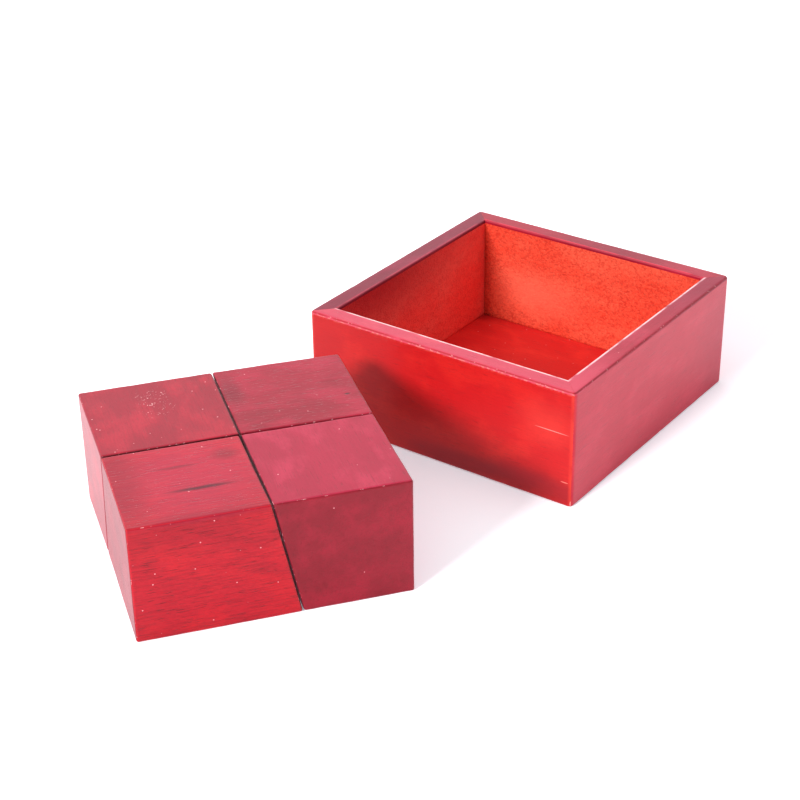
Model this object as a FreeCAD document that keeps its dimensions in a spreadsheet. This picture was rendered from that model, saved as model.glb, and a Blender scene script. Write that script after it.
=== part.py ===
import FreeCAD, Part
import os

import Sketcher

# A square wooden tray and the four slanted blocks that pack into it.
#
# The tray is four mitred boards glued round a thin bottom panel, which sits in a
# rebate, flush with their underside. The four blocks stand beside the tray as one
# square cluster. Its outer faces are upright but the two seams through it slant,
# so each block has two upright faces and two slanted ones, and neighbours overhang
# or undercut each other.
#
# Millimetres. Origin: centre of the tray's underside. +Z up, and the tray's front
# board faces -Y.

DIMENSIONS = {
    # The tray.
    "tray_length": 100.0,        # outside, along X
    "tray_width": 100.0,         # outside, along Y
    "tray_height": 40.0,
    "board_thickness": 6.5,
    "panel_thickness": 2.5,
    "rebate_reach": 3.0,         # how far the panel reaches under each board
    "panel_clearance": 0.1,      # between the panel's edges and the rebate
    "corner_round": 1.5,         # the upright outside corners, sanded after gluing
    "rim_round": 0.9,            # outside edge of the rim
    "foot_round": 0.8,           # outside edge of the underside
    "mouth_round": 0.5,          # inside edge of the rim
    # The blocks.
    "packing_slack": 6.7,        # between the packed blocks and the tray's mouth, in all
    "rim_drop": 0.5,             # from the rim down to the tops of the packed blocks
    "seam_angle": 11.3,          # slant of both seams from upright, in degrees
    "seam_gap": 0.3,             # between neighbouring blocks
    "block_round": 0.7,
    # The cluster's back right corner is the one nearest the tray.
    "cluster_east": -28.4,       # that corner, from the middle of the tray
    "cluster_standoff": 14.7,    # from that corner to the tray's front board
    "cluster_turn": 53.1,        # about Z, in degrees
    # How far each loose block stands off its even place in the cluster.
    "front_left_slip_east": 0.0,
    "front_left_slip_north": 0.0,
    "front_left_twist": 0.0,
    "front_right_slip_east": 0.0,
    "front_right_slip_north": -0.2,
    "front_right_twist": -0.4,
    "back_right_slip_east": 0.9,
    "back_right_slip_north": -0.2,
    "back_right_twist": -0.8,
    "back_left_slip_east": 0.1,
    "back_left_slip_north": 0.1,
    "back_left_twist": 0.3,
}

# The blocks pack into the tray, so these follow from the tray and the clearances.
FITTED = {
    # Every block's top is a square of this side.
    "block_top": "=(min(tray_length; tray_width) - 2 * board_thickness"
                 " - packing_slack - seam_gap) / 2",
    "block_height": "=tray_height - panel_thickness - rim_drop",
}

# Each block is drawn from its own square outer corner, which is the cluster's
# corner there, counted in block pitches from the back right one. The signs say
# whether its foot is wider (+1) or narrower (-1) than its top along its own X and
# Y, and the quarter turns bring it round the cluster.
BLOCKS = {
    "front_left": {"corner": (-1, -1), "flare": (+1, +1), "quarter_turns": 0},
    "front_right": {"corner": (0, -1), "flare": (+1, -1), "quarter_turns": 1},
    "back_right": {"corner": (0, 0), "flare": (-1, -1), "quarter_turns": 2},
    "back_left": {"corner": (-1, 0), "flare": (-1, +1), "quarter_turns": 3},
}

# Each board is the slice of the glued frame between two mitres. The quarter turns
# bring the slice round from the front, and the sizes are the frame's side along
# the board and across it.
BOARDS = {
    "wall_front": {"quarter_turns": 0, "along": "tray_length", "across": "tray_width"},
    "wall_right": {"quarter_turns": 1, "along": "tray_width", "across": "tray_length"},
    "wall_back": {"quarter_turns": 2, "along": "tray_length", "across": "tray_width"},
    "wall_left": {"quarter_turns": 3, "along": "tray_width", "across": "tray_length"},
}

document = FreeCAD.newDocument("puzzle_box")


def make_sheet():
    """Put the dimensions in a spreadsheet, one aliased cell each."""
    sheet = document.addObject("Spreadsheet::Sheet", "Dimensions")
    for row, (name, value) in enumerate({**DIMENSIONS, **FITTED}.items(), start=1):
        sheet.set(f"A{row}", name)
        sheet.set(f"B{row}", str(value))
        sheet.setAlias(f"B{row}", name)
    document.recompute()


def formula(text, **words):
    """Write an expression: {name} is a word given here, or a cell of the sheet."""
    cells = {name: f"Dimensions.{name}" for name in (*DIMENSIONS, *FITTED)}
    return "(" + text.format(**{**cells, **words}) + ")"


def bind(thing, **expressions):
    """Bind properties of an object; a double underscore in a name stands for a dot."""
    for place, expression in expressions.items():
        thing.setExpression(place.replace("__", "."), expression)


def origin_plane(body, role):
    """Find one of a body's own origin planes."""
    return next(f for f in body.Origin.OriginFeatures if f.Role == role)


def rectangle_sketch(body, name, length, width):
    """Draw a rectangle on a body's base plane, centred on its origin."""
    sketch = body.newObject("Sketcher::SketchObject", name)
    sketch.AttachmentSupport = [(origin_plane(body, "XY_Plane"), "")]
    sketch.MapMode = "FlatFace"
    points = [FreeCAD.Vector(x, y, 0) for x, y in ((-10, -10), (10, -10), (10, 10), (-10, 10))]
    for start, end in zip(points, points[1:] + points[:1]):
        sketch.addGeometry(Part.LineSegment(start, end))
    for line in range(4):
        sketch.addConstraint(Sketcher.Constraint("Coincident", line, 2, (line + 1) % 4, 1))
        sketch.addConstraint(Sketcher.Constraint("Horizontal" if line % 2 == 0 else "Vertical", line))
    sketch.addConstraint(Sketcher.Constraint("Symmetric", 0, 1, 1, 2, -1, 1))
    for line, kind, side in ((0, "DistanceX", length), (1, "DistanceY", width)):
        index = sketch.addConstraint(Sketcher.Constraint(kind, line, 1, line, 2, 20.0))
        sketch.setExpression(f"Constraints[{index}]", side)
    return sketch


def pad(body, name, sketch, height):
    """Raise a sketch upwards."""
    feature = body.newObject("PartDesign::Pad", name)
    feature.Profile = sketch
    bind(feature, Length=height)
    document.recompute()
    return feature


def pocket_up(body, name, sketch, depth):
    """Cut upwards from a sketch, and make sure that wood was removed."""
    before = body.Shape.Volume
    feature = body.newObject("PartDesign::Pocket", name)
    feature.Profile = sketch
    feature.Reversed = True
    bind(feature, Length=depth)
    document.recompute()
    if body.Shape.Volume > before - 1.0:
        raise RuntimeError(f"{name} cut nothing")
    return feature


def fillet(body, name, base, radius, wanted):
    """Round the edges of a feature that the function wanted(edge) picks out."""
    edges = [f"Edge{n}" for n, edge in enumerate(base.Shape.Edges, start=1) if wanted(edge)]
    feature = body.newObject("PartDesign::Fillet", name)
    feature.Base = (base, edges)
    bind(feature, Radius=radius)
    document.recompute()
    return feature


def upright(edge):
    """Say whether an edge runs straight up."""
    box = edge.BoundBox
    return box.ZLength > 1 and box.XLength < 1e-6 and box.YLength < 1e-6


def level_at(height):
    """Make a test for edges that lie level at a height."""
    return lambda edge: abs(edge.BoundBox.ZMin - height) < 1e-6 and edge.BoundBox.ZLength < 1e-6


def make_glued_frame():
    """Make the whole frame of the tray: four boards as one, rebated and rounded."""
    body = document.addObject("PartDesign::Body", "glued_frame")
    length, width, height = (formula("{tray_" + side + "}") for side in ("length", "width", "height"))
    outline = rectangle_sketch(body, "frame_outline", length, width)
    blank = pad(body, "frame_blank", outline, height)
    blank = fillet(body, "rounded_corners", blank, formula("{corner_round}"), upright)
    top_level = level_at(DIMENSIONS["tray_height"])
    blank = fillet(body, "rounded_rim", blank, formula("{rim_round}"), top_level)
    fillet(body, "rounded_foot", blank, formula("{foot_round}"), level_at(0))

    inside = rectangle_sketch(
        body, "mouth_outline",
        formula("{tray_length} - 2 * {board_thickness}"),
        formula("{tray_width} - 2 * {board_thickness}"))
    mouth = pocket_up(body, "mouth", inside, height)
    half_inside = DIMENSIONS["tray_length"] / 2 - DIMENSIONS["board_thickness"]
    fillet(body, "eased_mouth", mouth, formula("{mouth_round}"),
           lambda edge: top_level(edge) and abs(edge.BoundBox.XMin) < half_inside + 1e-3
           and abs(edge.BoundBox.XMax) < half_inside + 1e-3)

    past_mouth = " - 2 * {board_thickness} + 2 * {rebate_reach}"
    step = rectangle_sketch(
        body, "rebate_outline",
        formula("{tray_length}" + past_mouth), formula("{tray_width}" + past_mouth))
    pocket_up(body, "rebate", step, formula("{panel_thickness}"))
    return body


def make_boards(frame):
    """Saw the frame into its four mitred boards."""
    boards = []
    for name, board in BOARDS.items():
        along, across = formula("{" + board["along"] + "}"), formula("{" + board["across"] + "}")
        saw = document.addObject("Part::Wedge", name + "_mitres")
        # The slice narrows at 45 degrees from each corner, to a little past the board.
        depth = formula("1.5 * {board_thickness}")
        bind(saw, Xmin="0", X2min=depth, Xmax=along, X2max=f"{along} - {depth}",
             Ymin="0", Ymax=depth, Zmin="0", Z2min="0",
             Zmax=formula("{tray_height}"), Z2max=formula("{tray_height}"))
        x, y = f"-{along} / 2", f"-{across} / 2"
        for _ in range(board["quarter_turns"]):
            x, y = f"-({y})", x
        bind(saw, Placement__Base__x=x, Placement__Base__y=y)
        turn = FreeCAD.Rotation(FreeCAD.Vector(0, 0, 1), 90 * board["quarter_turns"])
        saw.Placement = FreeCAD.Placement(FreeCAD.Vector(), turn)
        piece = document.addObject("Part::Common", name)
        piece.Base, piece.Tool = frame, saw
        boards.append(piece)
    return boards


def make_panel():
    """Make the thin bottom panel that lies in the rebate."""
    body = document.addObject("PartDesign::Body", "floor_panel")
    past_mouth = " - 2 * {board_thickness} + 2 * {rebate_reach} - 2 * {panel_clearance}"
    outline = rectangle_sketch(
        body, "panel_outline",
        formula("{tray_length}" + past_mouth), formula("{tray_width}" + past_mouth))
    pad(body, "panel_sheet", outline, formula("{panel_thickness}"))
    return body


def make_block(name, block):
    """Make one block: its top is square, and its foot is shifted by the slanted faces."""
    body = document.addObject("PartDesign::Body", "block_" + name)
    lean = "{block_height} * tan({seam_angle})"
    foot_x, foot_y = (formula("{block_top} + {flare} * " + lean, flare=f) for f in block["flare"])
    top, height = formula("{block_top}"), formula("{block_height}")
    # A wedge tapers along its own Y, so it is stood up: its Y is the block's Z, and
    # its Z is the block's -Y.
    sawn = body.newObject("PartDesign::AdditiveWedge", name + "_sawn")
    sawn.AttachmentSupport = [(origin_plane(body, "XY_Plane"), "")]
    sawn.MapMode = "FlatFace"
    upright_turn = FreeCAD.Rotation(FreeCAD.Vector(1, 0, 0), 90)
    sawn.AttachmentOffset = FreeCAD.Placement(FreeCAD.Vector(), upright_turn)
    bind(sawn, Ymin="0", Ymax=height, Xmin="0", Xmax=foot_x, X2min="0", X2max=top,
         Zmin=f"-{foot_y}", Zmax="0", Z2min=f"-{top}", Z2max="0")
    document.recompute()
    fillet(body, name + "_eased", sawn, formula("{block_round}"), lambda edge: True)

    # The outer corner's even place in the cluster, then its slip, then the turn.
    pitch = "(2 * {block_top} + {seam_gap})"
    east, north = (
        formula("{corner} * " + pitch + " + {slip}", corner=corner, slip=f"Dimensions.{name}_slip_{way}")
        for corner, way in zip(block["corner"], ("east", "north")))
    turn = formula("{cluster_turn}")
    bind(body,
         Placement__Base__x=formula("{cluster_east} + cos({turn}) * {e} - sin({turn}) * {n}",
                                    turn=turn, e=east, n=north),
         Placement__Base__y=formula("-{tray_width} / 2 - {cluster_standoff}"
                                    " + sin({turn}) * {e} + cos({turn}) * {n}",
                                    turn=turn, e=east, n=north),
         Placement__Rotation__Angle=formula("{cluster_turn} + {twist} + 90 * {quarters}",
                                            twist=f"Dimensions.{name}_twist",
                                            quarters=block["quarter_turns"]))
    return body


def write_parts(pieces):
    """Check the whole document, then write each piece to its own STEP file."""
    document.recompute()
    for thing in document.Objects:
        faults = {"Invalid", "Error"} & set(thing.State)
        if faults:
            raise RuntimeError(f"{thing.Label} is {', '.join(faults)}")
    os.makedirs("parts", exist_ok=True)
    for piece in pieces:
        shape = piece.Shape
        if shape.isNull() or not shape.isValid() or len(shape.Solids) != 1:
            raise RuntimeError(f"{piece.Label} is not one sound solid")
        shape.exportStep(f"parts/{piece.Label}.step")
        print(f"{piece.Label}: {shape.Volume:.0f} cubic mm")


make_sheet()
pieces = make_boards(make_glued_frame())
pieces.append(make_panel())
for name, block in BLOCKS.items():
    pieces.append(make_block(name, block))
write_parts(pieces)
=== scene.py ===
import math

import bmesh
import bpy
from mathutils import Matrix, Vector, noise


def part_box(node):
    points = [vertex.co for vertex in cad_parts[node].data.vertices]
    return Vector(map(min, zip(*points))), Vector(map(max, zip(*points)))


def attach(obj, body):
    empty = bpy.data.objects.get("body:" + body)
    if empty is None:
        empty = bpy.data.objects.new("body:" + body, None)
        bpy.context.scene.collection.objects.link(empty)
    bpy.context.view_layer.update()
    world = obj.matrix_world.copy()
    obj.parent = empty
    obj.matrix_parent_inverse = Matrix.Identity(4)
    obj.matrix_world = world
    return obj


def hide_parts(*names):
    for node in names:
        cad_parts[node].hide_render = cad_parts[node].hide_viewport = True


# A wooden packing puzzle: a mitred tray and the four slanted blocks that fill it,
# sawn from a close-grained hardwood, dyed red and finished with a thin satin
# lacquer. The tray stands behind the blocks, which are pushed together in a square.

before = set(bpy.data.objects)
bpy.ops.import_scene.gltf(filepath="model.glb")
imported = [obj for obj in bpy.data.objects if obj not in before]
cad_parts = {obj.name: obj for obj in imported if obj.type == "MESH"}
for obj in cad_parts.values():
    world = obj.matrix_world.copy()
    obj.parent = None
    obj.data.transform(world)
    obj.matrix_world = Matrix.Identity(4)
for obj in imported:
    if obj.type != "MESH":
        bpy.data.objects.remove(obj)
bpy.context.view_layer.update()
MM = 0.001

# ---------------------------------------------------------------- camera and room

CAMERA_SPOT_MM = (286.3, -462.2, 299.6)
CAMERA_AZIMUTH = 36.10      # degrees to the right of the tray's front
CAMERA_DIP = 28.90          # degrees below level
CAMERA_ROLL = -0.853        # degrees
CAMERA_LENS_MM = 81.9       # on a 36 mm sensor


def make_camera():
    """Stand the camera to the right of the tray's front, looking down at both groups."""
    data = bpy.data.cameras.new("studio_camera")
    data.sensor_width = 36
    data.lens = CAMERA_LENS_MM
    camera = bpy.data.objects.new("studio_camera", data)
    bpy.context.scene.collection.objects.link(camera)
    turn = Matrix.Rotation(math.radians(CAMERA_AZIMUTH), 4, "Z")
    tilt = Matrix.Rotation(math.radians(90 - CAMERA_DIP), 4, "X")
    roll = Matrix.Rotation(math.radians(CAMERA_ROLL), 4, "Z")
    stand = Matrix.Translation(Vector(CAMERA_SPOT_MM) * MM)
    camera.matrix_world = stand @ turn @ tilt @ roll
    bpy.context.scene.camera = camera


def linear(hex_colour):
    """Turn an sRGB colour such as "d8332b" into linear RGBA."""
    parts = [int(hex_colour[i:i + 2], 16) / 255 for i in (0, 2, 4)]
    curve = [c / 12.92 if c <= 0.04045 else ((c + 0.055) / 1.055) ** 2.4 for c in parts]
    return (*curve, 1.0)


def add(tree, kind, inputs=None, **settings):
    """Add a node, set it up and link it; an input is a number, a colour or an output."""
    node = tree.nodes.new(kind)
    for name, value in settings.items():
        setattr(node, name, value)
    for name, value in (inputs or {}).items():
        if isinstance(value, bpy.types.NodeSocket):
            tree.links.new(value, node.inputs[name])
        else:
            node.inputs[name].default_value = value
    return node


def blank_material(name):
    """Start a material with its output and nothing else."""
    material = bpy.data.materials.new(name)
    material.use_nodes = True
    material.node_tree.nodes.clear()
    return material, material.node_tree


FLOOR_GLOW = 0.32           # light that the film passes from the table below


def lit_film():
    """Matt white film on a light table: even and bright, with no gloss."""
    material, tree = blank_material("lit_white_film")
    matt = add(tree, "ShaderNodeBsdfDiffuse", {"Color": linear("f5f4f5"), "Roughness": 1.0})
    lamp = add(tree, "ShaderNodeEmission", {"Color": linear("eaf4ff"), "Strength": FLOOR_GLOW})
    film = add(tree, "ShaderNodeAddShader", {0: matt.outputs[0], 1: lamp.outputs[0]})
    add(tree, "ShaderNodeOutputMaterial", {"Surface": film.outputs[0]})
    return material


FLOOR_REACH_MM = 6000
FLOOR_DROP_MM = 0.05        # below the pieces, so that no two faces share a plane


def make_floor():
    """Lay a sheet of white film under everything."""
    bm = bmesh.new()
    ring = [bm.verts.new((x * FLOOR_REACH_MM * MM, y * FLOOR_REACH_MM * MM, -FLOOR_DROP_MM * MM))
            for x, y in ((-1, -1), (1, -1), (1, 1), (-1, 1))]
    bm.faces.new(ring)
    mesh = bpy.data.meshes.new("paper_floor")
    bm.to_mesh(mesh)
    bm.free()
    mesh.materials.append(lit_film())
    floor = bpy.data.objects.new("paper_floor", mesh)
    bpy.context.scene.collection.objects.link(floor)


KEY_TOWARDS = (-0.15, -1.0, 0.5)    # from the object to the key light
KEY_SPREAD = 16.0                   # degrees across, so the shadow edges are soft
KEY_STRENGTH = 2.9
TENT_TOWARDS = (-0.40, 0.55, 0.73)  # the white tent glows most behind and above
TENT_STRENGTH = (0.40, 1.35)        # away from there, and there


def make_light():
    """Light a white tent from behind and above, with one soft key light from the front left."""
    world = bpy.data.worlds.new("white_tent")
    world.use_nodes = True
    tree = world.node_tree
    tree.nodes.clear()
    way = add(tree, "ShaderNodeTexCoord")
    facing = add(tree, "ShaderNodeVectorMath", {0: way.outputs["Generated"], 1: TENT_TOWARDS},
                 operation="DOT_PRODUCT")
    power = add(tree, "ShaderNodeMapRange", {
        "Value": facing.outputs["Value"], "From Min": -0.3, "From Max": 1.0,
        "To Min": TENT_STRENGTH[0], "To Max": TENT_STRENGTH[1]}, interpolation_type="SMOOTHSTEP")
    glow = add(tree, "ShaderNodeBackground", {"Color": linear("ffffff"),
                                              "Strength": power.outputs[0]})
    add(tree, "ShaderNodeOutputWorld", {"Surface": glow.outputs[0]})
    bpy.context.scene.world = world

    data = bpy.data.lights.new("key_light", "SUN")
    data.energy = KEY_STRENGTH
    data.angle = math.radians(KEY_SPREAD)
    key = bpy.data.objects.new("key_light", data)
    key.rotation_mode = "QUATERNION"
    key.rotation_quaternion = Vector(KEY_TOWARDS).to_track_quat("Z", "Y")
    bpy.context.scene.collection.objects.link(key)


# ------------------------------------------------------------- finishes in the wood

PER_MM = 1000.0     # one pattern cell per millimetre, in the metres of Object coordinates


def wood_points(tree, along, seed):
    """Give points in the piece's own frame, turned so that X runs along the grain."""
    own = add(tree, "ShaderNodeTexCoord")
    turn = {"X": (0, 0, 0), "Y": (0, 0, math.radians(-90))}[along]
    place = add(tree, "ShaderNodeMapping", {"Vector": own.outputs["Object"], "Rotation": turn,
                                            "Location": (seed * 0.31, seed * 0.17, seed * 0.23)})
    return place.outputs[0]


def pattern(tree, points, size_mm, window, detail=3.0, rough=0.55, bend=0.0):
    """Make an irregular pattern: 0 below the window of the noise and 1 above it."""
    scale = [PER_MM / size for size in size_mm]
    spread = add(tree, "ShaderNodeMapping", {"Vector": points, "Scale": scale})
    cloud = add(tree, "ShaderNodeTexNoise", {
        "Vector": spread.outputs[0], "Scale": 1.0, "Detail": detail, "Roughness": rough,
        "Distortion": bend})
    share = add(tree, "ShaderNodeMapRange", {
        "Value": cloud.outputs[0], "From Min": window[0], "From Max": window[1]},
        interpolation_type="SMOOTHSTEP")
    return share.outputs[0]


def overlap(tree, share, *others):
    """Where patterns meet: their product; a plain number thins the whole out."""
    for other in others:
        share = add(tree, "ShaderNodeMath", {0: share, 1: other}, operation="MULTIPLY").outputs[0]
    return share


def lay_colours(tree, ground, layers):
    """Lay colours over a ground colour, one after another; each layer is (share, colour). Most are dye,
    wear and dust; some are painted shade, painted highlight and painted reflection.
    """
    for share, colour in layers:
        mix = add(tree, "ShaderNodeMix", {0: share, 6: ground, 7: colour}, data_type="RGBA")
        ground = mix.outputs[2]
    return ground


def spot(tree, centre_mm, reach_mm, window=(1.0, 0.4), waver=0.0):
    """Mark one place in the piece's own frame: 1 at its middle, 0 past its reach."""
    own = add(tree, "ShaderNodeTexCoord").outputs["Object"]
    if waver:
        cloud = add(tree, "ShaderNodeTexNoise", {"Vector": own, "Scale": PER_MM / 4})
        even = add(tree, "ShaderNodeVectorMath", {0: cloud.outputs["Color"], 1: (0.5, 0.5, 0.5)},
                   operation="SUBTRACT")
        shaken = add(tree, "ShaderNodeVectorMath", {0: even.outputs[0], 1: (waver * MM,) * 3},
                     operation="MULTIPLY")
        own = add(tree, "ShaderNodeVectorMath", {0: own, 1: shaken.outputs[0]},
                  operation="ADD").outputs[0]
    away = add(tree, "ShaderNodeVectorMath", {0: own, 1: [c * MM for c in centre_mm]},
               operation="SUBTRACT")
    share = add(tree, "ShaderNodeVectorMath", {0: away.outputs[0], 1: [r * MM for r in reach_mm]},
                operation="DIVIDE")
    length = add(tree, "ShaderNodeVectorMath", {0: share.outputs[0]}, operation="LENGTH")
    inside = add(tree, "ShaderNodeMapRange", {
        "Value": length.outputs["Value"], "From Min": window[0], "From Max": window[1]},
        interpolation_type="SMOOTHSTEP")
    return inside.outputs[0]


def dust(tree, points, spacing_mm, radius_mm):
    """Scatter pale specks of dust caught in the lacquer."""
    cells = add(tree, "ShaderNodeTexVoronoi", {"Vector": points, "Scale": PER_MM / spacing_mm})
    share = radius_mm / spacing_mm
    dots = add(tree, "ShaderNodeMapRange", {
        "Value": cells.outputs["Distance"], "From Min": share, "From Max": share * 0.5},
        interpolation_type="SMOOTHSTEP")
    return dots.outputs[0]


def satin_lacquer(tree, colour, heights, roughness=0.40, gloss=0.5, haze=0.28):
    """Finish dyed wood with a thin satin lacquer; heights are (pattern, depth in mm).

    Fine rubbing scratches in the lacquer make a pale haze at a shallow angle."""
    normal = None
    for height, depth in heights:
        inputs = {"Height": height, "Distance": depth * MM, "Strength": 1.0}
        if normal:
            inputs["Normal"] = normal
        normal = add(tree, "ShaderNodeBump", inputs).outputs[0]
    shader = add(tree, "ShaderNodeBsdfPrincipled", {
        "Base Color": colour, "Roughness": roughness, "IOR": 1.48, "Specular IOR Level": gloss,
        "Normal": normal, "Sheen Weight": haze, "Sheen Roughness": 0.30,
        "Sheen Tint": linear("ffeef2")})
    add(tree, "ShaderNodeOutputMaterial", {"Surface": shader.outputs[0]})


def arris_layers(tree, points, line, chips=1.0, corners=0.0):
    """Colours along the arrises: a line where dye pooled or wore thin, painted shade where a block
    faces its neighbour, pale chips.

    Each mark is carried by the mesh and says how near a point is to such a place."""
    arris, seam, corner, lip = (
        add(tree, "ShaderNodeAttribute", attribute_name=mark).outputs["Fac"]
        for mark in ("arris", "seam", "corner", "lip"))
    thin = add(tree, "ShaderNodeMapRange", {"Value": arris, "From Min": 0.62, "From Max": 1.0},
               interpolation_type="SMOOTHSTEP").outputs[0]
    uneven = pattern(tree, points, (9, 9, 9), (0.22, 0.52))
    broken = pattern(tree, points, (1.0, 1.0, 1.0), (0.65, 0.69), detail=1)
    dotted = pattern(tree, points, (1.1, 0.8, 0.8), (0.50, 0.58), detail=2)
    return [(overlap(tree, thin, uneven, 0.85), linear(line)),
            # painted shade: near black where a block's arris turns towards its neighbour
            (seam, linear("2c050b")),
            (overlap(tree, corner, uneven, corners), linear("e8402f")),
            (overlap(tree, thin, broken, chips), linear("f4cfcf")),
            (overlap(tree, lip, dotted, 0.6), linear("eeb8a0"))]


def long_grain(name, along, seed, ground, deep, bright, line, *, strength=1.0, cloudy=0.75,
               marks=(), dust_mm=4.0, chips=1.0, corners=0.0, haze=0.28):
    """Dyed hardwood cut along the grain: fine short pores and soft bands of dye."""
    material, tree = blank_material(name)
    points = wood_points(tree, along, seed)
    bands = pattern(tree, points, (60, 11, 11), (0.35, 0.72), bend=0.3)
    clouds = pattern(tree, points, (17, 10, 10), (0.44, 0.66), detail=4)
    fibres = pattern(tree, points, (8.0, 0.6, 0.6), (0.44, 0.68), detail=3)
    pores = pattern(tree, points, (4.2, 0.36, 0.36), (0.60, 0.72), detail=2)
    grit = pattern(tree, points, (1.0, 0.55, 0.55), (0.46, 0.66), detail=2)
    colour = lay_colours(tree, linear(ground), [
        (overlap(tree, bands, 0.8 * strength * cloudy), linear(deep)),
        (overlap(tree, clouds, cloudy), linear(bright)),
        (overlap(tree, fibres, 0.42 * strength), linear(deep)),
        (overlap(tree, pores, 0.55 * strength), linear("5d0815")),
        (overlap(tree, grit, 0.16), linear(deep)),
        *[(make(tree, points), linear(dye)) for make, dye in marks],
        (dust(tree, points, dust_mm, 0.26), linear("f0b4ba")),
        *arris_layers(tree, points, line, chips, corners)])
    relief = [(pores, -0.04 * strength), (fibres, -0.012 * strength), (clouds, 0.03)]
    satin_lacquer(tree, colour, relief, haze=haze)
    return material


def end_grain(name, seed, ground, deep, line):
    """Dyed end grain: it drinks more dye, so it is darker, with a soft mottle."""
    material, tree = blank_material(name)
    points = wood_points(tree, "X", seed)
    clouds = pattern(tree, points, (13, 13, 13), (0.36, 0.66), detail=4)
    mottle = pattern(tree, points, (2.6, 2.6, 2.6), (0.42, 0.66), detail=4)
    grit = pattern(tree, points, (0.6, 0.6, 0.6), (0.50, 0.68), detail=2)
    colour = lay_colours(tree, linear(ground), [
        (overlap(tree, clouds, 0.7), linear(deep)),
        (overlap(tree, mottle, 0.25), linear("7d0a1c")),
        (overlap(tree, grit, 0.18), linear("5f0714")),
        (dust(tree, points, 6.0, 0.26), linear("e9a3ab")),
        *arris_layers(tree, points, line)])
    satin_lacquer(tree, colour, [(grit, -0.02), (mottle, 0.03)], roughness=0.42, haze=0.55)
    return material


# ------------------------------------------------------------------ meshes of wood

ARRIS_MARKS_MM = (0.0, 0.12, 0.28, 0.48, 0.72, 1.05, 1.5)   # lattice lines next to an arris
LATTICE_MM = 0.62                                           # spacing elsewhere


def rule(length):
    """Rule marks along one side, in mm: close together at both ends, even between."""
    close = ARRIS_MARKS_MM[-1]
    steps = round((length - 2 * close) / LATTICE_MM)
    middle = [close + (length - 2 * close) * i / steps for i in range(1, steps)]
    ends = list(ARRIS_MARKS_MM)
    return [m - length / 2 for m in ends + middle + [length - e for e in reversed(ends)]]


def skin_of_box(marks):
    """Mesh the skin of a box ruled along its three axes; faces carry the axis they face."""
    bm = bmesh.new()
    facing = bm.faces.layers.int.new("facing")
    known = {}

    def corner(spot):
        if spot not in known:
            known[spot] = bm.verts.new([marks[axis][spot[axis]] for axis in range(3)])
        return known[spot]

    for axis in range(3):
        across, up = (axis + 1) % 3, (axis + 2) % 3
        for level in (0, len(marks[axis]) - 1):
            for i in range(len(marks[across]) - 1):
                for j in range(len(marks[up]) - 1):
                    spots = []
                    for a, b in ((i, j), (i + 1, j), (i + 1, j + 1), (i, j + 1)):
                        spot = [level] * 3
                        spot[across], spot[up] = a, b
                        spots.append(corner(tuple(spot)))
                    face = bm.faces.new(spots if level else spots[::-1])
                    face[facing] = axis
    return bm


def ease(point, half, radius):
    """Move a point of a box's skin onto the same box with rounded arrises.

    Also gives the way the rounded skin faces there, or None on a flat face."""
    core = Vector([max(radius - h, min(h - radius, c)) for c, h in zip(point, half)])
    way = (point - core).normalized()
    if max(map(abs, way)) > 0.9999:
        return point, None
    return core + way * radius, way


ARRIS_MIDDLE = 0.293        # 1 - cos 45 degrees, reached half way round an arris


def arris_share(way):
    """Say how far round an arris a point is: 0 on a flat face, 1 along its middle."""
    return 0.0 if way is None else min(1.0, (1 - max(map(abs, way))) / ARRIS_MIDDLE)


def cad_planes(node, turn):
    """Read a CAD block's six flat faces, in mm, in the frame of the cluster."""
    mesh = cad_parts[node].data
    planes = {}
    for axis in range(3):
        for sign in (-1, 1):
            planes[axis, sign] = []
    for face in mesh.polygons:
        normal = turn @ face.normal
        axis = max(range(3), key=lambda a: abs(normal[a]))
        centre = turn @ (face.center / MM)
        planes[axis, 1 if normal[axis] > 0 else -1].append((face.area, normal, normal.dot(centre)))
    flat = {}
    for side, faces in planes.items():
        biggest = max(faces, key=lambda f: f[0])
        flat[side] = (biggest[1].copy(), biggest[2])
    return flat


def block_corners(node, turn):
    """Give the eight sharp corners of a CAD block, in mm, in the frame of the cluster."""
    flat = cad_planes(node, turn)
    corners = {}
    for sx in (-1, 1):
        for sy in (-1, 1):
            for sz in (-1, 1):
                three = [flat[0, sx], flat[1, sy], flat[2, sz]]
                normals = Matrix([n for n, _ in three])
                corners[sx, sy, sz] = normals.inverted() @ Vector([d for _, d in three])
    return corners


def among(corners, shares):
    """Blend eight corners by shares from -1 to 1 along each axis."""
    spot = Vector((0, 0, 0))
    for signs, corner in corners.items():
        weight = 1.0
        for sign, share in zip(signs, shares):
            weight *= (1 + sign * share) / 2
        spot += corner * weight
    return spot


def put(name, bm, to_world, materials, pick, body, node):
    """Turn a bmesh in mm into a smooth piece that stands for a CAD node."""
    for vertex in bm.verts:
        vertex.co *= MM
    for face in bm.faces:
        face.smooth = True
        face.material_index = pick(face)
    mesh = bpy.data.meshes.new(name)
    bm.to_mesh(mesh)
    bm.free()
    for material in materials:
        mesh.materials.append(material)
    piece = bpy.data.objects.new(name, mesh)
    bpy.context.scene.collection.objects.link(piece)
    piece.matrix_world = to_world
    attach(piece, body)
    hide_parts(node)
    return piece


WAVE_LENGTHS_MM = (14, 3.5)     # long and short waves left by sanding
WEAR_LENGTHS_MM = (5, 1.3)      # long and short stretches of wear along an arris
SHORT_WAVE = 0.2                # height of the short waves, as a share of the long
SHORT_WEAR = 0.3


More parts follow.
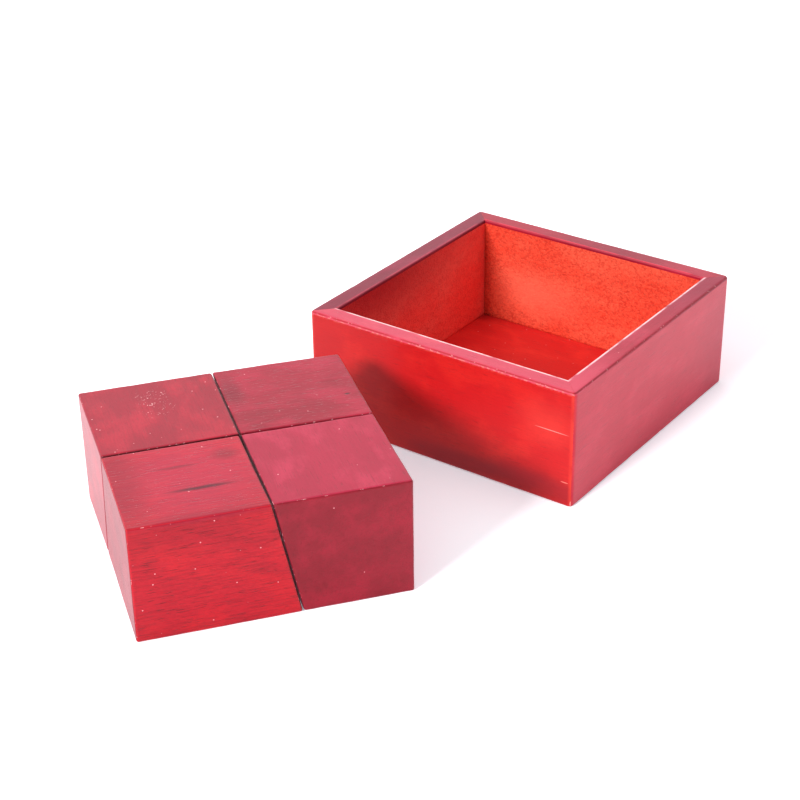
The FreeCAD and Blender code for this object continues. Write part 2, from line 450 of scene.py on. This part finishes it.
def hand_worked(bm, arris, seed, wave_mm=0.05, wear_mm=0.09):
    """Take the machine's evenness off: faint waves on the faces, wear along the arrises.

    Nothing is moved below the lowest point, which stands on the table."""
    table = min(vertex.co.z for vertex in bm.verts)
    bm.normal_update()
    shift = Vector((seed * 31.7, seed * 17.3, seed * 23.9))
    for vertex in bm.verts:
        place = vertex.co + shift
        long_wave, short_wave = (noise.noise(place / length) for length in WAVE_LENGTHS_MM)
        wave = long_wave * wave_mm + short_wave * wave_mm * SHORT_WAVE
        long_wear, short_wear = (noise.noise(place / length) for length in WEAR_LENGTHS_MM)
        wear = vertex[arris] * wear_mm * max(0.0, long_wear + SHORT_WEAR * short_wear)
        vertex.co += vertex.normal * (wave - wear)
        vertex.co.z = max(vertex.co.z, table)


BLOCK_ROUND_MM = 0.7
ROUND_LENGTH_MM = 6     # along an arris, before its radius changes
ROUND_SPREAD = 0.25     # by how much of itself the radius changes
BLOCK_TOP_MM = 18.5     # from a block's middle up to its top
CLUSTER_TURN = 53.1     # degrees about Z, from the tray's front to the cluster's


def soft_mark(centre, reach, most=0.8):
    """A soft-edged patch of another colour; where it is long and thin it is a streak. Most are dye in
    the wood; some are painted shade and painted reflection.
    """
    return lambda tree, points: overlap(
        tree, spot(tree, centre, reach, (1.0, 0.2), waver=0.6), most)


def knock(centre, reach, most=1.0, waver=0.4):
    """A small knock or scratch that goes through the dye to the pale wood."""
    return lambda tree, points: overlap(tree, spot(tree, centre, reach, (1.0, 0.7), waver), most)


def bubbled_patch(centre, reach):
    """A patch of lacquer with burst bubbles: short pale curls and dots."""
    def make(tree, points):
        curls = pattern(tree, points, (1.1, 1.1, 1.1), (0.64, 0.70), detail=2, bend=1.6)
        return overlap(tree, spot(tree, centre, reach, (1.0, 0.5), waver=3.0), curls, 0.8)
    return make


# Sides that face a neighbour get painted shade, as (axis, sign, how dark): the arris
# darkens where it turns towards the neighbour, as shade falls in the gap. A nudge moves a
# corner of the wood off the even CAD shape, in mm in the cluster's frame, keyed by
# its signs along X and Y.
BLOCKS = {
    "block_front_left": {
        "grain": "X", "seed": 1, "ground": "c21029", "deep": "8c0a20", "bright": "dc202a",
        "line": "d8141d", "streaky": 1.0, "cloudy": 0.36, "haze": 0.27,
        "seams": ((0, 1, 0.85), (1, 1, 0.85)), "nudges": {}, "marks": [
            # painted reflection: a pinker, mauve tint over the whole top
            (soft_mark((0, 0, BLOCK_TOP_MM), (40, 40, 2), 0.35), "b8325c"),
            (soft_mark((-20.0, 2.0, BLOCK_TOP_MM), (11, 30, 3), 0.5), "8a0f2c"),
            (soft_mark((0.0, -24.0, BLOCK_TOP_MM), (30, 8, 3), 0.4), "8a0f2c"),
            (soft_mark((2.0, -6.8, BLOCK_TOP_MM), (13.5, 1.3, 3), 0.9), "5b1226"),
            (soft_mark((-3.0, 6.0, BLOCK_TOP_MM), (9, 1.0, 3), 0.5), "6d1226"),
            (soft_mark((12.0, 9.0, BLOCK_TOP_MM), (6, 4, 3), 0.5), "7c1528")]},
    "block_front_right": {
        "grain": "Y", "seed": 2, "ground": "b41c42", "deep": "9c1436", "bright": "c63254",
        "line": "6d0818", "streaky": 0.55, "cloudy": 0.75, "haze": 0.38,
        "seams": ((0, -1, 0.85), (1, 1, 0.35)), "nudges": {}, "marks": []},
    "block_back_right": {
        "grain": "X", "seed": 3, "ground": "a90e33", "deep": "860a25", "bright": "b91b40",
        "line": "6a0a1a", "streaky": 0.9, "cloudy": 0.75, "haze": 0.40,
        "seams": ((0, -1, 0.6), (1, -1, 0.35)), "nudges": {(-1, 1): (-0.3, 0)},
        "marks": [
            (soft_mark((13.8, -8.4, BLOCK_TOP_MM), (1.3, 0.7, 1), 0.9), "3c0710"),
            (soft_mark((-19, 4, BLOCK_TOP_MM), (5, 14, 3), 0.5), "6c0c20")]},
    "block_back_left": {
        "grain": "Y", "seed": 4, "ground": "a80e30", "deep": "860a24", "bright": "c21a38",
        "line": "640a18", "streaky": 0.5, "cloudy": 0.75, "haze": 0.62,
        "seams": ((0, 1, 0.4), (1, -1, 0.85)),
        "nudges": {(-1, 1): (-0.55, 0.1), (-1, -1): (-0.3, 0), (1, 1): (0.55, 0)}, "marks": [
            (bubbled_patch((-1.5, 5.0, BLOCK_TOP_MM), (7, 12, 3)), "f6c3c4")]},
}


SEAM_START = 0.52           # how far the round has to face the neighbour before it darkens
SEAM_RISE = 2.2


def seam_shade_share(towards):
    """Say how much painted shade a point gets, by how far its arris faces the neighbour there."""
    return max(0.0, min(1.0, SEAM_RISE * (towards - SEAM_START)))


def make_block(node, look):
    """Make one block: its CAD shape with wear along its arrises and slightly uneven faces."""
    turn = Matrix.Rotation(math.radians(-CLUSTER_TURN), 3, "Z")
    corners = block_corners(node, turn)
    centre = sum(corners.values(), Vector()) / 8
    corners = {signs: corner - centre for signs, corner in corners.items()}
    half = Vector([sum(abs(c[axis]) for c in corners.values()) / 8 for axis in range(3)])
    for signs in corners:
        corners[signs] += Vector((*look["nudges"].get(signs[:2], (0, 0)), 0))
    bm = skin_of_box([rule(2 * h) for h in half])
    arris = bm.verts.layers.float.new("arris")
    seam = bm.verts.layers.float.new("seam")
    facing = bm.faces.layers.int["facing"]
    for vertex in bm.verts:
        place = vertex.co / ROUND_LENGTH_MM + Vector((look["seed"] * 9, 0, 0))
        radius = BLOCK_ROUND_MM * (1 + ROUND_SPREAD * noise.noise(place))
        eased, way = ease(vertex.co, half, radius)
        vertex[arris] = arris_share(way)
        # painted shade: the arris darkens as far as it turns towards a neighbouring block
        if way:
            vertex[seam] = max(dark * seam_shade_share(way[axis] * sign)
                               for axis, sign, dark in look["seams"])
        vertex.co = among(corners, [c / h for c, h in zip(eased, half)])
    hand_worked(bm, arris, look["seed"])
    materials = [
        long_grain(f"red_dyed_hardwood_{node}", look["grain"], look["seed"], look["ground"],
                   look["deep"], look["bright"], look["line"], strength=look["streaky"],
                   cloudy=look["cloudy"], marks=look["marks"], haze=look["haze"]),
        end_grain(f"red_dyed_end_grain_{node}", look["seed"], "a51631", "870d23", look["line"])]
    end_axis = {"X": 0, "Y": 1}[look["grain"]]
    to_world = Matrix.Rotation(math.radians(CLUSTER_TURN), 4, "Z") @ Matrix.Translation(centre * MM)
    put(f"{node}_wood", bm, to_world, materials,
        lambda face: 1 if face[facing] == end_axis else 0, node, node)


# The tray's own sizes, as the part has them.
RIM_ROUND_MM = 0.9
FOOT_ROUND_MM = 0.8
MOUTH_ROUND_MM = 0.5
CORNER_ROUND_MM = 1.5
REBATE_MM = (3.0, 2.5)      # how far in it reaches under the board, and how high
GLUE_LINE_MM = 0.02         # left between two mitred ends


def dye_and_light_patch(centre, reach, most=0.7):
    """A patch of another colour with a soft uneven edge: in some places the dye lies thinner or
    thicker, in others it is painted shade, painted light and painted reflection.
    """
    return lambda tree, points: overlap(
        tree, spot(tree, centre, reach, (1.0, 0.0), waver=4.0), most)


# Each board's quarter turns about Z from the front, then its colours. Outside and rim:
# ground, deep, bright; the rims are one dyed wood, and their colours differ from board to
# board as painted reflection, palest pink on the front. Inside: ground, deep, squiggle,
# and how rough the saw left it. "line" runs along the arrises, "mouth" is a painted
# highlight along the inner one, "corners" and "lip" say how much shows of the upright
# corners' and the outer lip's rubbed dye. The marks are single places, in the board's own
# frame, where its front faces -Y: some are dye, others painted shade, light and reflection.
BOARDS = {
    "wall_front": {
        "turns": 0, "line": "a80f1c", "mouth": "ffe6e6", "lip": 0.8, "corners": 0.7,
        "outside": ("c4181c", "a81016", "d02722"), "rim": ("d04660", "bd354a", "dc5668"),
        "inside": ("d42a2c", "b81820", "8f1018", 0.3), "inside_marks": [], "rim_marks": [],
        # painted shade: darker on the upper left of the front
        "marks": [(dye_and_light_patch((-44, -50, 26), (18, 6, 18), 0.5), "b01218"),
                  # painted reflection: paler on the upper right of the front
                  (dye_and_light_patch((40, -50, 27), (16, 6, 12), 0.4), "dc4a40"),
                  # painted shadow: darker low along the foot, on the right and in the middle
                  (soft_mark((36, -50, 5.0), (34, 3, 6), 0.55), "8c1024"),
                  (soft_mark((8, -50, 3.0), (30, 3, 6), 0.5), "7a1024"),
                  (knock((42.3, -50, 25.0), (6.8, 3, 0.16), 0.7, waver=0.0), "f2a9a4"),
                  (knock((49.5, -49.5, 39.4), (0.45, 0.45, 0.5)), "fbe6dc"),
                  (knock((49.6, -49.6, 1.2), (0.4, 0.4, 1.2)), "f6d2c8"),
                  (knock((47.3, -50, 8.4), (1.5, 2, 0.22), 0.7), "ee9a8c")]},
    "wall_right": {
        "turns": 1, "line": "8e0a22", "mouth": "ffd9dc", "lip": 0.0, "corners": 0.3,
        "outside": ("c61a3c", "aa1230", "cf2a48"), "rim": ("b2203e", "981530", "c03250"),
        "inside": ("d42a2c", "b81820", "8f1018", 0.3), "inside_marks": [],
        # painted reflection: the front rim's paler colour carried round the near corner; after it the
        # right rim grows darker towards its far end
        "rim_marks": [(dye_and_light_patch((-50, -46.5, 40), (38, 14, 6), 0.95), "d04660"),
                      (dye_and_light_patch((40, -46.5, 40), (46, 14, 6), 0.8), "8e1638")],
        "marks": [(dye_and_light_patch((52, -50, 16), (34, 6, 40), 0.6), "ae1a3c")]},
    "wall_back": {
        "turns": 2, "line": "8a0c20", "mouth": "d8304a", "lip": 0.0, "corners": 0.1,
        "outside": ("c81a3c", "ac1230", "d22a48"), "rim": ("a81a36", "8e122a", "b82a46"),
        "inside": ("e86248", "e04a32", "bc2c1e", 0.55), "marks": [],
        "rim_marks": [(dye_and_light_patch((-8, -46.5, 40), (36, 14, 6), 0.7), "861630")],
        "inside_marks": [(dye_and_light_patch((22, -43.5, 16), (30, 12, 14), 0.6), "ee7a62"),
                    # painted shade: darker up the inside corner where the back board meets the left
                    (dye_and_light_patch((46, -43.5, 10), (7, 6, 40)), "b8261e")]},
    "wall_left": {
        "turns": 3, "line": "8a0c20", "mouth": "b8344c", "lip": 0.0, "corners": 0.1,
        "outside": ("c81a3c", "ac1230", "d22a48"), "rim": ("8c1a38", "741430", "9c2646"),
        # painted light: the left board's inside is paler than the other insides, standing in for light
        # thrown back from the back board
        "inside": ("ff7268", "ff5a54", "d02a2e", 0.25), "rim_marks": [], "marks": [],
        # painted shade: darker along the top, towards the front
        "inside_marks": [(dye_and_light_patch((24, -43.5, 40), (74, 12, 24), 0.85), "b81226")]},
}


ARC_STEPS = 6


def quarter(centre, radius, start):
    """Points round a quarter circle, as (depth, height, share of arris)."""
    points = []
    for step in range(ARC_STEPS + 1):
        angle = math.radians(start + 90 * step / ARC_STEPS)
        arris = math.sin(math.radians(180 * step / ARC_STEPS))
        depth, height = (c + radius * share for c, share in
                         zip(centre, (math.cos(angle), math.sin(angle))))
        points.append((depth, height, arris))
    return points


def run(start, end, spacing=LATTICE_MM):
    """Points strictly between two points of a profile."""
    steps = max(1, round(math.dist(start, end) / spacing))
    return [(start[0] + (end[0] - start[0]) * i / steps,
             start[1] + (end[1] - start[1]) * i / steps, 0.0) for i in range(1, steps)]


BOARD_SIDES = ("foot", "outside", "rim", "mouth", "inside", "hidden")
SIDE_MATERIAL = {"foot": 0, "outside": 0, "rim": 1, "mouth": 1, "inside": 2, "hidden": 2}


def board_profile(thick, height):
    """The section of a board as (depth from the outer face, height, arris, side)."""
    reach, step = REBATE_MM
    foot = quarter((FOOT_ROUND_MM, FOOT_ROUND_MM), FOOT_ROUND_MM, 180)[::-1]
    rim = quarter((RIM_ROUND_MM, height - RIM_ROUND_MM), RIM_ROUND_MM, 90)[::-1]
    mouth = quarter((thick - MOUTH_ROUND_MM, height - MOUTH_ROUND_MM), MOUTH_ROUND_MM, 0)[::-1]
    # the mouth mark, which carries the painted highlight, is strongest next to the rim
    mouth = [(depth, level, max(0.0, 1 - 0.25 * i)) for i, (depth, level, _) in enumerate(mouth)]
    heel, inner, outer = (thick - reach, 0.0, 0.0), (thick - reach, step, 0.0), (thick, step, 0.0)
    parts = [("foot", foot), ("outside", run(foot[-1], rim[0])), ("rim", rim + run(rim[-1], mouth[0])),
             ("mouth", mouth), ("inside", run(mouth[-1], outer) + [outer]),
             ("hidden", run(outer, inner) + [inner] + run(inner, heel) + [heel] + run(heel, foot[0]))]
    return [(*point, side) for side, points in parts for point in points]


def round_corner(spot, half):
    """Round the tray's upright corners in plan, the same way for both boards."""
    core = Vector([max(CORNER_ROUND_MM - h, min(h - CORNER_ROUND_MM, c)) for c, h in zip(spot, half)])
    out = spot - core
    if min(abs(out.x), abs(out.y)) < 1e-9:
        return spot
    return core + out * max(abs(out.x), abs(out.y)) / out.length


CORNER_FULL = 1.6           # above 1, so that the mark is full before the middle


def corner_share(plan, along, across):
    """Say how near a point is to an upright outside corner: 1 along its middle."""
    near = (CORNER_ROUND_MM - along + abs(plan.x), CORNER_ROUND_MM - across + abs(plan.y))
    return max(0.0, min(1.0, CORNER_FULL * min(near) / CORNER_ROUND_MM))


LIP_PLACE = 0.8             # down the rim's outer round, as a share of its radius
LIP_REACH = 0.28


def lip_share(level, depth, top, lip):
    """Mark the low side of the rim's outer arris, where a fingernail catches it."""
    if depth >= RIM_ROUND_MM:
        return 0.0
    below = (top - level) / RIM_ROUND_MM
    return lip * max(0.0, 1 - abs(below - LIP_PLACE) / LIP_REACH)


def board_skin(profile, marks, along, across, top, lip):
    """Skin a mitred board: its profile at each mark, drawn in at the ends by the mitre."""
    bm = bmesh.new()
    layers = {mark: bm.verts.layers.float.new(mark) for mark in ("arris", "mouth", "corner", "lip")}
    part = bm.faces.layers.int.new("facing")
    rings = []
    for mark in marks:
        ring = []
        for depth, level, share, side in profile:
            reach = (along - depth - GLUE_LINE_MM) / along
            plan = round_corner(Vector((mark * reach, depth - across)), Vector((along, across)))
            vertex = bm.verts.new((plan.x, plan.y, level))
            vertex[layers["mouth" if side == "mouth" else "arris"]] = share
            vertex[layers["corner"]] = corner_share(plan, along, across)
            vertex[layers["lip"]] = lip_share(level, depth, top, lip)
            ring.append(vertex)
        rings.append(ring)
    for low, high in zip(rings, rings[1:]):
        for i in range(len(profile)):
            j = (i + 1) % len(profile)
            face = bm.faces.new((low[i], high[i], high[j], low[j]))
            face[part] = BOARD_SIDES.index(profile[i][3])
    for ring in (rings[0][::-1], rings[-1]):
        cap = bm.faces.new(ring)
        cap[part] = BOARD_SIDES.index("hidden")
        bmesh.ops.triangulate(bm, faces=[cap])
    bmesh.ops.recalc_face_normals(bm, faces=bm.faces)
    return bm, layers["arris"]


def make_board(node, look, half, thick, height):
    """Make one mitred board of the tray, with its rebate, in a frame of its own."""
    turns, seed = look["turns"], 10 + look["turns"]
    along, across = (half.x, half.y) if turns % 2 == 0 else (half.y, half.x)
    bm, arris = board_skin(
        board_profile(thick, height), rule(2 * along), along, across, height, look["lip"])
    hand_worked(bm, arris, seed, wave_mm=0.04)
    part = bm.faces.layers.int["facing"]
    materials = [
        long_grain(f"red_dyed_board_{node}", "X", seed, *look["outside"], look["line"],
                   strength=0.4, marks=look["marks"], dust_mm=11, chips=0.25, corners=look["corners"]),
        long_grain(f"red_dyed_rim_{node}", "X", seed + 4, *look["rim"], look["line"],
                   strength=0.5, marks=look["rim_marks"], dust_mm=9, chips=0.25),
        rough_inside(f"rough_dyed_inside_{node}", seed, *look["inside"], marks=look["inside_marks"])]
    # painted highlight along the inner arris of the mouth
    add_painted_mouth_highlight(materials[1], look["mouth"])
    put(f"{node}_wood", bm, Matrix.Rotation(math.radians(90 * turns), 4, "Z"), materials,
        lambda face: SIDE_MATERIAL[BOARD_SIDES[face[part]]], "tray", node)


def add_painted_mouth_highlight(material, dye):
    """Paint a highlight along the mouth's inner arris: pale on the front and right boards, a lighter
    red on the back and left.
    """
    tree = material.node_tree
    shader = next(n for n in tree.nodes if n.type == "BSDF_PRINCIPLED")
    under = shader.inputs["Base Color"].links[0].from_socket
    points = wood_points(tree, "X", 3)
    uneven = pattern(tree, points, (7, 7, 7), (0.25, 0.55))
    highlight_share = add(tree, "ShaderNodeAttribute", attribute_name="mouth").outputs["Fac"]
    painted_highlight = overlap(tree, highlight_share, uneven)
    # painted highlight: the colour given as dye is laid where the mouth mark is
    tree.links.new(lay_colours(tree, under, [(painted_highlight, linear(dye))]), shader.inputs["Base Color"])


def rough_inside(name, seed, ground, deep, squiggle, sawn, marks=()):
    """The inside of the tray: sawn, barely sanded wood, dyed thin and left orange."""
    material, tree = blank_material(name)
    points = wood_points(tree, "X", seed)
    squiggles = pattern(tree, points, (1.5, 1.1, 1.1), (0.44, 0.62), detail=3, bend=1.2)
    pits = pattern(tree, points, (1.3, 0.9, 0.9), (0.66, 0.72), detail=2)
    clouds = pattern(tree, points, (26, 12, 12), (0.40, 0.66), detail=4)
    blots = pattern(tree, points, (6, 4, 4), (0.60, 0.72), detail=3)
    grit = pattern(tree, points, (0.7, 0.7, 0.7), (0.45, 0.70), detail=2)
    colour = lay_colours(tree, linear(ground), [
        (overlap(tree, clouds, 0.8), linear(deep)),
        (overlap(tree, squiggles, sawn), linear(squiggle)),
        (overlap(tree, blots, 0.5 * sawn), linear(squiggle)),
        (overlap(tree, pits, 0.6 * sawn), linear("8a1c18")),
        (overlap(tree, grit, 0.25 * sawn), linear("ffa07a")),
        *[(make(tree, points), linear(dye)) for make, dye in marks]])
    satin_lacquer(tree, colour, [(squiggles, -0.05), (grit, 0.03)], roughness=0.6, gloss=0.35, haze=0.0)
    return material


def make_tray():
    """Make the four boards of the tray."""
    front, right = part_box("wall_front"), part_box("wall_right")
    half = Vector((right[1][0], -front[0][1])) / MM
    thick = (front[1][1] - front[0][1]) / MM
    height = front[1][2] / MM
    for node, look in BOARDS.items():
        make_board(node, look, half, thick, height)


PANEL_ROUND_MM = 0.2


def make_panel():
    """Make the thin bottom panel, which lies in the boards' rebate."""
    low, high = (Vector(corner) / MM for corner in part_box("floor_panel"))
    half = (high - low) / 2
    levels = [-half.z, -half.z + PANEL_ROUND_MM, 0, half.z - PANEL_ROUND_MM, half.z]
    bm = skin_of_box([rule(2 * half.x), rule(2 * half.y), levels])
    arris = bm.verts.layers.float.new("arris")
    for vertex in bm.verts:
        vertex.co, way = ease(vertex.co, half, PANEL_ROUND_MM)
        vertex[arris] = arris_share(way)
    # painted shadow of the front board over the front right of the panel, and painted shade in its back
    # left corner
    painted_shade = [(dye_and_light_patch((34, -36, 0), (58, 40, 6), 0.75), "8c0f22"),
                 (dye_and_light_patch((-44, 44, 0), (8, 8, 6), 0.6), "8c1018")]
    materials = [long_grain("red_dyed_panel", "X", 20, "da2a2a", "c82024", "e83c34", "a01018",
                            strength=0.5, marks=painted_shade)]
    put("floor_panel_wood", bm, Matrix.Translation((low + high) / 2 * MM), materials,
        lambda face: 0, "tray", "floor_panel")


make_camera()
make_floor()
make_light()
for block, look in BLOCKS.items():
    make_block(block, look)
make_tray()
make_panel()

VIEW_GAMMA = 0.88       # under 1, so the middle tones come out a little deeper
bpy.context.scene.view_settings.view_transform = "Standard"
bpy.context.scene.view_settings.gamma = VIEW_GAMMA
